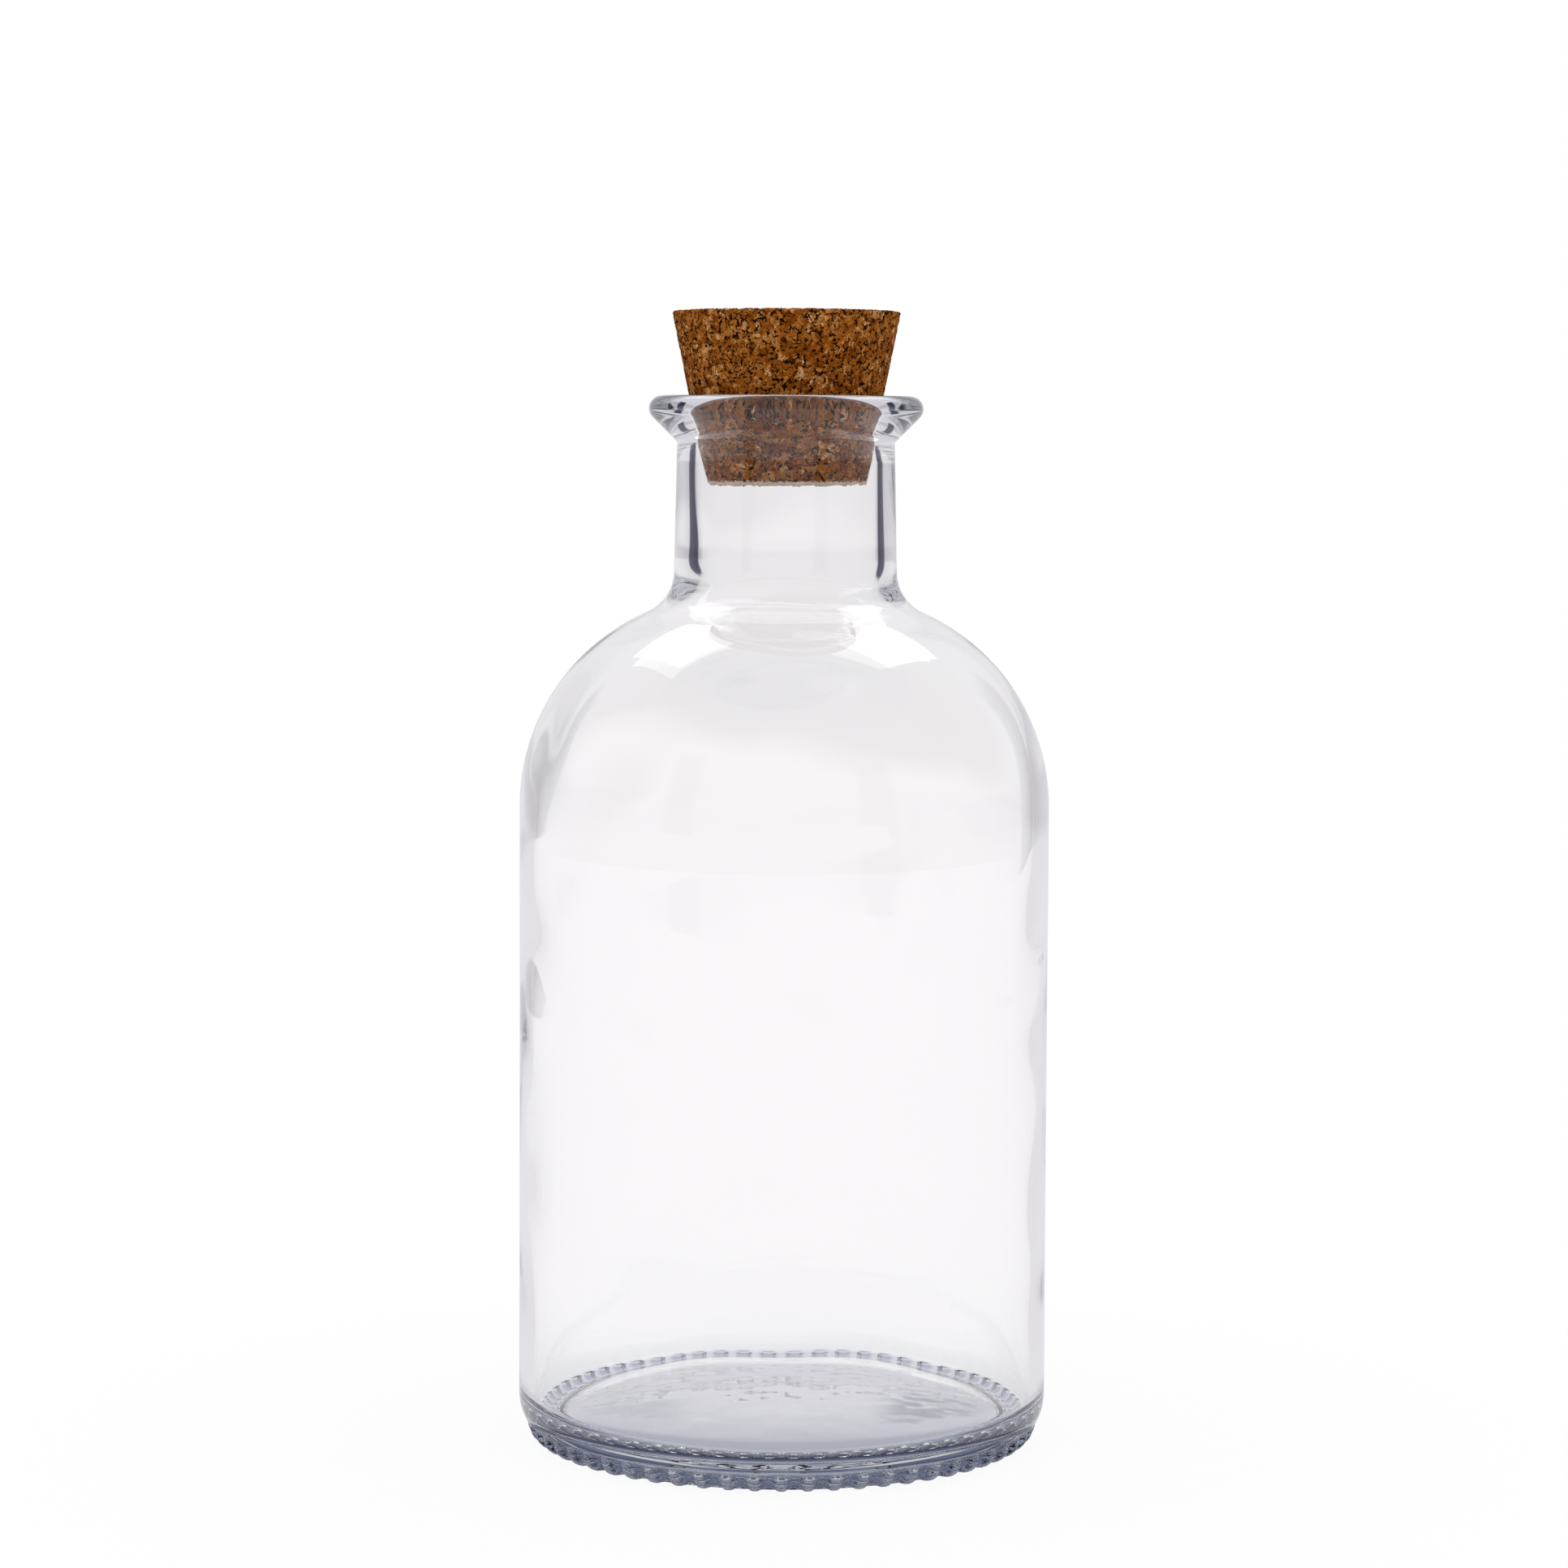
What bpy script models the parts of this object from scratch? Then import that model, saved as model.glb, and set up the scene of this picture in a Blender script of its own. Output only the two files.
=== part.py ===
# Apothecary bottle with a tapered cork stopper, in metres, +Z up.
# The origin is on the ground, under the middle of the bottle.

import math

import bmesh
import bpy
from mathutils import Matrix

# Straight body of the bottle, with a shallow label panel between two full-width bands
BODY_DIAMETER = 0.0800
BODY_HEIGHT = 0.0962
BODY_WALL = 0.0022
LABEL_PANEL_DEPTH = 0.00024
LABEL_PANEL_RUN = 0.0090
SHOULDER_BAND = 0.0110
HEEL_BAND = 0.0060

# Round shoulder and straight neck
SHOULDER_RADIUS = 0.0319
NECK_FILLET = 0.0068
NECK_INNER_FILLET = 0.0120
NECK_LENGTH = 0.0194
NECK_WALL = 0.0029
NECK_DRAFT = 0.0004
BORE_DIAMETER = 0.0270

# Flared lip with a round bead, open to the bore through a tapered mouth
LIP_OVERHANG = 0.00425
LIP_BEAD_RADIUS = 0.0019
LIP_UNDERSIDE_ANGLE = math.radians(45)
MOUTH_DEPTH = 0.0078
MOUTH_ROUND = 0.0007

# Heel, mould parting line and the knurled ring that the bottle stands on
HEEL_HEIGHT = 0.0070
HEEL_RADIUS = 0.0076
PARTING_HEIGHT = 0.0030
PARTING_STEP = 0.00015
BASE_EDGE_RADIUS = 0.0027
BEARING_WIDTH = 0.0014
KNURL_COUNT = 60
KNURL_DEPTH = 0.0008
KNURL_GROOVE_RADIUS = 0.0010
KNURL_RUNOUT = 0.0014
KNURL_UPRIGHT_ANGLE = math.radians(12)

# Hollow under the base, and the thick floor above it
RECESS_EDGE_WIDTH = 0.0014
RECESS_EDGE_HEIGHT = 0.0008
RECESS_STEP = 0.0003
PUNT_HEIGHT = 0.0042
FLOOR_THICKNESS = 0.0040
FLOOR_CROWN = 0.0054
INNER_CORNER_RADIUS = 0.0037

# Cork stopper, a frustum with the mouth's own taper
CORK_TAPER_ANGLE = math.radians(11.15)
CORK_INSERTION = 0.0136
CORK_PROTRUSION = 0.0127
CORK_EDGE_ROUND = 0.0004
CORK_CLEARANCE = 0.0003

# How finely the turned shapes are divided
SIDES = KNURL_COUNT
MERGE_DISTANCE = 0.00001
VIEWPORT_CLEAR_SHARE = 0.65

BODY_R = BODY_DIAMETER / 2
BODY_INNER_R = BODY_R - BODY_WALL
BORE_R = BORE_DIAMETER / 2
NECK_TOP_R = BORE_R + NECK_WALL
NECK_FOOT_R = NECK_TOP_R + NECK_DRAFT

# The neck fillet touches the shoulder arc and the foot of the neck
SHOULDER_CENTER_R = BODY_R - SHOULDER_RADIUS
FILLET_CENTER_R = NECK_FOOT_R + NECK_FILLET
FILLET_REACH = SHOULDER_RADIUS + NECK_FILLET
FILLET_ANGLE = math.acos((FILLET_CENTER_R - SHOULDER_CENTER_R) / FILLET_REACH)
NECK_FOOT_Z = BODY_HEIGHT + FILLET_REACH * math.sin(FILLET_ANGLE)
NECK_TOP_Z = NECK_FOOT_Z + NECK_LENGTH

# The underside of the lip is a cone that touches the bead
LIP_R = NECK_TOP_R + LIP_OVERHANG
BEAD_CENTER_R = LIP_R - LIP_BEAD_RADIUS
BEAD_TOUCH_R = BEAD_CENTER_R + LIP_BEAD_RADIUS * math.sin(LIP_UNDERSIDE_ANGLE)
BEAD_TOUCH_Z = NECK_TOP_Z + (BEAD_TOUCH_R - NECK_TOP_R) * math.tan(LIP_UNDERSIDE_ANGLE)
BEAD_CENTER_Z = BEAD_TOUCH_Z + LIP_BEAD_RADIUS * math.cos(LIP_UNDERSIDE_ANGLE)
RIM_Z = BEAD_CENTER_Z + LIP_BEAD_RADIUS

# The mouth opens from the bore to the rim with the cork's taper
TAPER = math.tan(CORK_TAPER_ANGLE)
MOUTH_R = BORE_R + MOUTH_DEPTH * TAPER

# The base edge starts a small step inside the heel
PARTING_R = BODY_R - HEEL_RADIUS + math.sqrt(HEEL_RADIUS ** 2 - (HEEL_HEIGHT - PARTING_HEIGHT) ** 2)
BASE_EDGE_CENTER_R = PARTING_R - PARTING_STEP - BASE_EDGE_RADIUS
BEARING_INNER_R = BASE_EDGE_CENTER_R - BEARING_WIDTH
RECESS_R = BEARING_INNER_R - RECESS_EDGE_WIDTH
FLOOR_CENTER_Z = PUNT_HEIGHT + FLOOR_THICKNESS
FLOOR_EDGE_Z = FLOOR_CENTER_Z - FLOOR_CROWN


def clear_scene():
    for old in list(bpy.data.objects):
        bpy.data.objects.remove(old, do_unlink=True)


def make_collection(name):
    collection = bpy.data.collections.new(name)
    bpy.context.scene.collection.children.link(collection)
    return collection


def make_material(name, color, roughness, transmission=0.0):
    material = bpy.data.materials.new(name)
    material.use_nodes = True
    shader = material.node_tree.nodes["Principled BSDF"]
    shader.inputs["Base Color"].default_value = (*color, 1.0)
    shader.inputs["Roughness"].default_value = roughness
    shader.inputs["Metallic"].default_value = 0.0
    shader.inputs["Transmission Weight"].default_value = transmission
    material.diffuse_color = (*color, 1.0 - VIEWPORT_CLEAR_SHARE * transmission)
    return material


def arc(center_r, center_z, radius, start, end, steps):
    """Points on an arc in the profile plane, both ends included; angles in radians from +X."""
    points = []
    for step in range(steps + 1):
        angle = start + (end - start) * step / steps
        points.append((center_r + radius * math.cos(angle), center_z + radius * math.sin(angle)))
    return points


def dome(edge_r, edge_z, middle_z, steps):
    """Points from the middle of a shallow dome out to its edge."""
    points = []
    for step in range(steps + 1):
        share = step / steps
        points.append((edge_r * share, middle_z + (edge_z - middle_z) * share ** 2))
    return points


def floor_and_inner_wall():
    """The inside of the bottle, from the middle of the floor up to the neck."""
    corner_r = BODY_INNER_R - INNER_CORNER_RADIUS
    corner_z = FLOOR_EDGE_Z + INNER_CORNER_RADIUS
    points = dome(corner_r, FLOOR_EDGE_Z, FLOOR_CENTER_Z, 5)[:-1]
    points += arc(corner_r, corner_z, INNER_CORNER_RADIUS, -math.pi / 2, 0, 4)

    # The inner fillet touches the bore and the inner shoulder
    shoulder_radius = SHOULDER_RADIUS - BODY_WALL
    fillet_center_r = BORE_R + NECK_INNER_FILLET
    reach = shoulder_radius + NECK_INNER_FILLET
    angle = math.acos((fillet_center_r - SHOULDER_CENTER_R) / reach)
    fillet_center_z = BODY_HEIGHT + reach * math.sin(angle)
    points += arc(SHOULDER_CENTER_R, BODY_HEIGHT, shoulder_radius, 0, angle, 7)
    points += arc(fillet_center_r, fillet_center_z, NECK_INNER_FILLET, math.pi + angle, math.pi, 5)[1:]
    return points


def mouth():
    """The tapered mouth and its rounded inner edge, from the bore up to the rim."""
    turn = math.pi / 2 - CORK_TAPER_ANGLE
    round_center_r = MOUTH_R + MOUTH_ROUND * math.tan(turn / 2)
    round_center_z = RIM_Z - MOUTH_ROUND
    start = math.pi - CORK_TAPER_ANGLE
    points = [(BORE_R, RIM_Z - MOUTH_DEPTH)]
    points += arc(round_center_r, round_center_z, MOUTH_ROUND, start, math.pi / 2, 2)
    return points


def lip_and_neck():
    """The bead, the cone under it and the neck, from the rim down to the shoulder."""
    end = LIP_UNDERSIDE_ANGLE - math.pi / 2
    points = arc(BEAD_CENTER_R, BEAD_CENTER_Z, LIP_BEAD_RADIUS, math.pi / 2, end, 6)
    points.append((NECK_TOP_R, NECK_TOP_Z))
    points += arc(FILLET_CENTER_R, NECK_FOOT_Z, NECK_FILLET, math.pi, math.pi + FILLET_ANGLE, 4)
    return points


def shoulder_and_body():
    """The shoulder arc, then the wall with its label panel, down to the heel."""
    points = arc(SHOULDER_CENTER_R, BODY_HEIGHT, SHOULDER_RADIUS, FILLET_ANGLE, 0, 8)[1:]
    panel_r = BODY_R - LABEL_PANEL_DEPTH
    panel_top = BODY_HEIGHT - SHOULDER_BAND
    panel_bottom = HEEL_HEIGHT + HEEL_BAND
    points.append((BODY_R, panel_top))
    points.append((panel_r, panel_top - LABEL_PANEL_RUN))
    points.append((panel_r, panel_bottom + LABEL_PANEL_RUN))
    points.append((BODY_R, panel_bottom))
    return points


def heel_and_base():
    """The heel, the parting line, the bearing ring and the hollow under the base."""
    heel_turn = math.asin((HEEL_HEIGHT - PARTING_HEIGHT) / HEEL_RADIUS)
    points = arc(BODY_R - HEEL_RADIUS, HEEL_HEIGHT, HEEL_RADIUS, 0, -heel_turn, 3)
    points.append((PARTING_R - PARTING_STEP, PARTING_HEIGHT))
    points += arc(BASE_EDGE_CENTER_R, BASE_EDGE_RADIUS, BASE_EDGE_RADIUS, 0, -math.pi / 2, 2)
    points.append((BEARING_INNER_R, 0))
    points.append((RECESS_R, RECESS_EDGE_HEIGHT))
    recess_top = RECESS_EDGE_HEIGHT + RECESS_STEP
    points += reversed(dome(RECESS_R - RECESS_STEP, recess_top, PUNT_HEIGHT, 5))
    return points


def cork_profile():
    """The cork from the middle of its top down to the middle of its bottom."""
    cork_r_at_rim = MOUTH_R - CORK_CLEARANCE / math.cos(CORK_TAPER_ANGLE)
    top_z = RIM_Z + CORK_PROTRUSION
    bottom_z = RIM_Z - CORK_INSERTION
    top_r = cork_r_at_rim + CORK_PROTRUSION * TAPER
    bottom_r = cork_r_at_rim - CORK_INSERTION * TAPER
    return [
        (0, top_z),
        (top_r - CORK_EDGE_ROUND, top_z),
        (top_r - CORK_EDGE_ROUND * TAPER, top_z - CORK_EDGE_ROUND),
        (bottom_r + CORK_EDGE_ROUND * TAPER, bottom_z + CORK_EDGE_ROUND),
        (bottom_r - CORK_EDGE_ROUND, bottom_z),
        (0, bottom_z),
    ]


def turn(name, profile, material, collection):
    """A solid turned about Z from a profile that starts and ends on the axis."""
    mesh = bpy.data.meshes.new(name)
    verts = [(r, 0, z) for r, z in profile]
    edges = [(index, index + 1) for index in range(len(verts) - 1)]
    mesh.from_pydata(verts, edges, [])
    mesh.materials.append(material)
    turned = bpy.data.objects.new(name, mesh)
    collection.objects.link(turned)
    screw = turned.modifiers.new("turn", "SCREW")
    screw.axis = "Z"
    screw.angle = 2 * math.pi
    screw.steps = SIDES
    screw.render_steps = SIDES
    screw.use_merge_vertices = True
    screw.merge_threshold = MERGE_DISTANCE
    screw.use_smooth_shade = True
    return turned


def knurl_path():
    """Where the middle of a knurl groove runs: in from below the ring, then up round the base edge."""
    standoff = KNURL_GROOVE_RADIUS - KNURL_DEPTH
    turn_radius = BASE_EDGE_RADIUS + standoff
    turn_end = -KNURL_UPRIGHT_ANGLE
    start = (BASE_EDGE_CENTER_R - KNURL_RUNOUT, -standoff - 2 * KNURL_GROOVE_RADIUS)
    points = [start] + arc(BASE_EDGE_CENTER_R, BASE_EDGE_RADIUS, turn_radius, -math.pi / 2, turn_end, 2)

    # The last stretch is upright, so a groove has a level top under the parting line
    points.append((points[-1][0], BASE_EDGE_RADIUS))
    return points


def knurl_cutters(collection):
    """One bent round rod for each groove, all in one cutter, set between the sides' corners."""
    curve = bpy.data.curves.new("knurl_rod", "CURVE")
    curve.dimensions = "3D"
    curve.bevel_depth = KNURL_GROOVE_RADIUS
    curve.bevel_resolution = 1
    curve.use_fill_caps = True
    path = knurl_path()
    spline = curve.splines.new("POLY")
    spline.points.add(len(path) - 1)
    for point, (r, z) in zip(spline.points, path):
        point.co = (r, 0, z, 1)
    rod = bpy.data.objects.new("knurl_rod", curve)
    collection.objects.link(rod)
    evaluated = rod.evaluated_get(bpy.context.evaluated_depsgraph_get())
    mesh = bpy.data.meshes.new_from_object(evaluated)
    bpy.data.objects.remove(rod, do_unlink=True)

    ring = bmesh.new()
    ring.from_mesh(mesh)
    bmesh.ops.remove_doubles(ring, verts=ring.verts, dist=MERGE_DISTANCE)
    pitch = 2 * math.pi / KNURL_COUNT
    bmesh.ops.rotate(ring, verts=ring.verts, cent=(0, 0, 0), matrix=Matrix.Rotation(pitch / 2, 3, "Z"))
    bmesh.ops.spin(
        ring,
        geom=list(ring.verts) + list(ring.edges) + list(ring.faces),
        cent=(0, 0, 0),
        axis=(0, 0, 1),
        angle=pitch * (KNURL_COUNT - 1),
        steps=KNURL_COUNT - 1,
        use_duplicate=True,
    )
    bmesh.ops.recalc_face_normals(ring, faces=ring.faces)
    ring.to_mesh(mesh)
    ring.free()
    cutters = bpy.data.objects.new("knurl_cutters", mesh)
    cutters.hide_render = True
    cutters.display_type = "WIRE"
    collection.objects.link(cutters)
    return cutters


def build_bottle(parts, cutters):
    glass = make_material("soda_lime_glass", (0.93, 0.95, 0.96), 0.02, transmission=1.0)
    profile = floor_and_inner_wall() + mouth() + lip_and_neck() + shoulder_and_body() + heel_and_base()
    bottle = turn("glass_bottle", profile, glass, parts)
    knurl = bottle.modifiers.new("knurl", "BOOLEAN")
    knurl.operation = "DIFFERENCE"
    knurl.solver = "EXACT"
    knurl.object = knurl_cutters(cutters)
    return bottle


def build_cork(parts):
    cork = make_material("agglomerated_cork", (0.23, 0.10, 0.03), 0.85)
    return turn("cork_stopper", cork_profile(), cork, parts)


def main():
    clear_scene()
    parts = make_collection("apothecary_bottle")
    cutters = make_collection("cutters")
    build_bottle(parts, cutters)
    build_cork(parts)


main()
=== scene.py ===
import math

import bpy
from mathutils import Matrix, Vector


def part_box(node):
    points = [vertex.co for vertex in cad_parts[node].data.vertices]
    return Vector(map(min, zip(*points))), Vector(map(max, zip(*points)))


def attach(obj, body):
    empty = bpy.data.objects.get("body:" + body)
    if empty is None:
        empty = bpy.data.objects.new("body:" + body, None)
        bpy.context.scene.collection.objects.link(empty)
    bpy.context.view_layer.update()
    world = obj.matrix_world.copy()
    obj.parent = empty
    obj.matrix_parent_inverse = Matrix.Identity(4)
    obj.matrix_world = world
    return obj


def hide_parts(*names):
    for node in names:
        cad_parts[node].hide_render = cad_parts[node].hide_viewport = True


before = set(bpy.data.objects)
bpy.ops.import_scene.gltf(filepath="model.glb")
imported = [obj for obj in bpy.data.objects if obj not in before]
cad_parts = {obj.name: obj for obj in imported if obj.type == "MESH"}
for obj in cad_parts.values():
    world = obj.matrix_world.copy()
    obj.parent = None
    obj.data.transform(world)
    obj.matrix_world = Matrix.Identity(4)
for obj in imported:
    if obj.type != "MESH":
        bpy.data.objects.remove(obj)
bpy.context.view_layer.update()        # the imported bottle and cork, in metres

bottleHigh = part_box("glass_bottle")[1]
corkLow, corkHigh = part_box("cork_stopper")
print("frame loaded")

mmPerMetre = 1000
weldDistance = 0.000001     # corners nearer than this become one
nearDistance = 0.00001      # corners nearer than this to a named place belong to it
noiseMiddle = (0.5, 0.5, 0.5)
onceDepth = 0.5             # light with a depth past this has turned, or gone into glass, at least once
wallDepth = 3.5             # light that has crossed more surfaces than this is through the far wall too


# small tools

# the curve of the sRGB standard, undone
def toLinear(hexText):
    parts = [int(hexText[i:i + 2], 16) / 255 for i in (1, 3, 5)]
    return tuple(p / 12.92 if p <= 0.04045 else ((p + 0.055) / 1.055) ** 2.4 for p in parts) + (1.0,)


pureWhite = toLinear("#ffffff")


# an input is a value or another node's output, and goes by its socket's name or place: a Map Range has
# 0 value, 1 and 2 from, 3 and 4 to, and a Mix has 0 factor and 2 and 3 values, or 6 and 7 colours that
# come out at 2; stops are the tones of a colour ramp
def addNode(tree, kind, inputs=None, stops=(), **settings):
    node = tree.nodes.new(kind)
    for name, value in settings.items():
        setattr(node, name, value)
    for socket, value in (inputs or {}).items():
        if isinstance(value, bpy.types.NodeSocket):
            tree.links.new(value, node.inputs[socket])
        else:
            node.inputs[socket].default_value = value
    if stops:
        points = node.color_ramp.elements
        points.remove(points[-1])
        points[0].position = stops[0][0]
        points[0].color = toLinear(stops[0][1])
        for place, hexText in stops[1:]:
            points.new(place).color = toLinear(hexText)
    return node


def emptyMaterial(name):
    material = bpy.data.materials.new(name)
    material.use_nodes = True
    material.node_tree.nodes.clear()
    return material, material.node_tree


def deselectAll():
    if bpy.context.object and bpy.context.object.mode != "OBJECT":
        bpy.ops.object.mode_set(mode="OBJECT")
    bpy.ops.object.select_all(action="DESELECT")


def makeActive(piece):
    deselectAll()
    piece.select_set(True)
    bpy.context.view_layer.objects.active = piece


def applyModifiers(piece):
    makeActive(piece)
    for modifier in list(piece.modifiers):
        bpy.ops.object.modifier_apply(modifier=modifier.name)


# points on an arc of an outline, (radius from the axis, height), angles in degrees
def arcPoints(centerR, centerZ, radius, start, end, steps):
    points = []
    for i in range(steps + 1):
        angle = math.radians(start + (end - start) * i / steps)
        points.append((centerR + radius * math.cos(angle), centerZ + radius * math.sin(angle)))
    return points


def linePoints(r0, z0, r1, z1, steps):
    return [(r0 + (r1 - r0) * i / steps, z0 + (z1 - z0) * i / steps) for i in range(steps + 1)]


# both go from 0 to 1 and are level at the ends
def easeCosine(part):
    return (1 - math.cos(math.pi * part)) / 2


def easeCubic(part):
    return part * part * (3 - 2 * part)


# a small plane merged to one corner, extruded along the outline and turned round the axis
def turnOutline(name, outline, steps):
    deselectAll()
    start = outline[0]
    bpy.ops.mesh.primitive_plane_add(size=0.001, location=(0, 0, 0))
    piece = bpy.context.object
    piece.name = name
    piece.data.name = name
    bpy.ops.object.mode_set(mode="EDIT")
    bpy.ops.mesh.select_all(action="SELECT")
    bpy.ops.mesh.merge(type="CENTER")
    bpy.ops.transform.translate(value=(start[0], 0, start[1]))
    last = start
    for point in outline[1:]:
        step = (point[0] - last[0], 0, point[1] - last[1])
        bpy.ops.mesh.extrude_vertices_move(TRANSFORM_OT_translate={"value": step})
        last = point
    bpy.ops.object.mode_set(mode="OBJECT")
    turning = piece.modifiers.new("turning", "SCREW")
    turning.steps = steps
    turning.render_steps = steps
    turning.use_smooth_shade = True
    applyModifiers(piece)
    return piece


# welds seams and poles and faces every side outwards
def closeSurface(piece):
    makeActive(piece)
    bpy.ops.object.mode_set(mode="EDIT")
    bpy.ops.mesh.select_all(action="SELECT")
    bpy.ops.mesh.remove_doubles(threshold=weldDistance)
    bpy.ops.mesh.normals_make_consistent(inside=False)
    bpy.ops.object.mode_set(mode="OBJECT")
    bpy.ops.object.shade_smooth()


# glass bottle

# a pair of values is where something begins and where it ends
bottle = {
    "radius": bottleHigh.x,
    "height": bottleHigh.z,
    "wall": 0.0022,
    "bodyTop": 0.0962,          # where the straight wall turns into the shoulder
    "panelDepth": 0.00004,      # the label panel lies this far in from the two bands
    "panelLow": 0.0130,
    "panelHigh": 0.0852,
    "panelRun": 0.0140,         # over which it falls in, at each end
    "shoulderRadius": 0.0319,
    "neckFillet": 0.0068,
    "neckFootRadius": 0.0168,
    "neckTopRadius": 0.0164,
    "lipRadius": 0.02065,
    "beadRadius": 0.0019,
    "boreRadius": 0.0135,
    "mouthDepth": 0.0078,
    "mouthRound": 0.0007,
    "taper": 11.15,             # degrees off upright, the same on the mouth and the cork
    "heelHeight": 0.0070,
    "heelRadius": 0.0076,
    "partingHeight": 0.0030,
    "partingStep": 0.00015,
    "baseEdge": 0.0027,
    "bearingWidth": 0.0014,
    "recessSlope": 0.0014,
    "recessHeight": 0.0008,
    "recessStep": 0.0003,
    "puntHeight": 0.0042,
    "floor": 0.0040,
    "floorCrown": 0.0037,
    "innerCorner": 0.0037,
    "innerFillet": 0.0120,
    "knurls": 60,
    "knurlDepth": 0.0008,
    "knurlEnd": 0.0352,         # the knurls run out under the ring here
    "knurlFade": 0.0010,        # and fade out over this
    "knurlTopShare": 0.99,      # of the parting line's height, so that the line itself stays round
    "waver": 0.0005,            # how far the inside of blown glass strays
    "waverSize": 0.014,
    "waverFloorShare": 0.08,    # what is left of it at the floor
    "waverRise": 0.025,         # above the foot of the panel, where it reaches its whole size
    "waverStart": 0.0005,       # under the lowest of the inside
    "waverStop": 0.001,         # below the mouth, where the cork's seat stays true
    "neckShare": 0.9,           # of the shoulder's rise, where its inside turns into the neck's
    "neckInside": 0.0150,       # between the bore and the outside of the neck
    "insideReach": 0.0004,      # corners this far outside the inner surface still belong to it
    "bodySteps": 300,           # faces round the axis
    "knurlSteps": 14,           # faces round one knurl
    "floorSteps": 44,           # and faces along the outline
    "cornerSteps": 16,
    "wallSteps": 36,
    "shoulderSteps": 22,
    "innerFilletSteps": 9,
    "boreSteps": 10,
    "mouthSteps": 5,
    "beadSteps": 13,
    "lipUnderSteps": 3,
    "neckSteps": 6,
    "neckFilletSteps": 8,
    "panelSteps": 5,
    "heelSteps": 7,
    "baseEdgeSteps": 10,
    "bearingSteps": 5,
    "recessSteps": 6,
    "ior": 1.52,
    "depthTint": "#b0b5c0",     # of light that has gone a long way through the glass
    "depthDensity": 11.0,       # per metre
    "shadowPass": 0.97,         # share of the light that each surface lets through to the table
    "ringStart": (0.0350, 0.0362),      # from the axis
    "ringTop": (0.0024, 0.0036),
    "lipStart": (0.1550, 0.1562),
    "tipTint": "#d7dce6",
    # the grooves' colour holds a painted shade over the blue-grey of the thick glass
    "grooveTintAndShade": "#8591ac",
    "grooveStart": (0.9, -0.1),         # of a cosine that is 1 on a tip and -1 in a groove
    "lipTint": "#eff1f6",
    "rippleTop": (0.006, 0.012),
    "rippleNoise": {"Scale": 180.0, "Detail": 1.0},     # waves per metre, so each is 5 to 6 mm
    "rippleDepth": 0.000035,
}
bottle["shoulderMiddle"] = bottle["radius"] - bottle["shoulderRadius"]
bottle["heelDrop"] = math.asin((bottle["heelHeight"] - bottle["partingHeight"]) / bottle["heelRadius"])
bottle["partingRadius"] = bottle["radius"] - bottle["heelRadius"] * (1 - math.cos(bottle["heelDrop"]))
bottle["edgeMiddle"] = bottle["partingRadius"] - bottle["partingStep"] - bottle["baseEdge"]
bottle["bearingInner"] = bottle["edgeMiddle"] - bottle["bearingWidth"]


# the inside, from the middle of the floor up to the rim
def insideOutline(b):
    cornerR = b["radius"] - b["wall"] - b["innerCorner"]
    middle = b["puntHeight"] + b["floor"]
    steps = b["floorSteps"]
    points = [(cornerR * i / steps, middle - b["floorCrown"] * (i / steps) ** 2) for i in range(steps)]
    cornerZ = middle - b["floorCrown"] + b["innerCorner"]
    points += arcPoints(cornerR, cornerZ, b["innerCorner"], -90, 0, b["cornerSteps"])
    innerR = b["radius"] - b["wall"]
    points += linePoints(innerR, cornerZ, innerR, b["bodyTop"], b["wallSteps"])[1:-1]
    shoulder = b["shoulderRadius"] - b["wall"]
    fillet = b["innerFillet"]
    filletR = b["boreRadius"] + fillet
    turn = math.acos((filletR - b["shoulderMiddle"]) / (shoulder + fillet))
    filletZ = b["bodyTop"] + (shoulder + fillet) * math.sin(turn)
    turn = math.degrees(turn)
    points += arcPoints(b["shoulderMiddle"], b["bodyTop"], shoulder, 0, turn, b["shoulderSteps"])
    points += arcPoints(filletR, filletZ, fillet, 180 + turn, 180, b["innerFilletSteps"])[1:]
    mouthFoot = b["height"] - b["mouthDepth"]
    points += linePoints(b["boreRadius"], filletZ, b["boreRadius"], mouthFoot, b["boreSteps"])[1:]
    mouthR = b["boreRadius"] + b["mouthDepth"] * math.tan(math.radians(b["taper"]))
    roundR = mouthR + b["mouthRound"] * math.tan(math.radians((90 - b["taper"]) / 2))
    roundZ = b["height"] - b["mouthRound"]
    points += arcPoints(roundR, roundZ, b["mouthRound"], 180 - b["taper"], 90, b["mouthSteps"])
    return points


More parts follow.
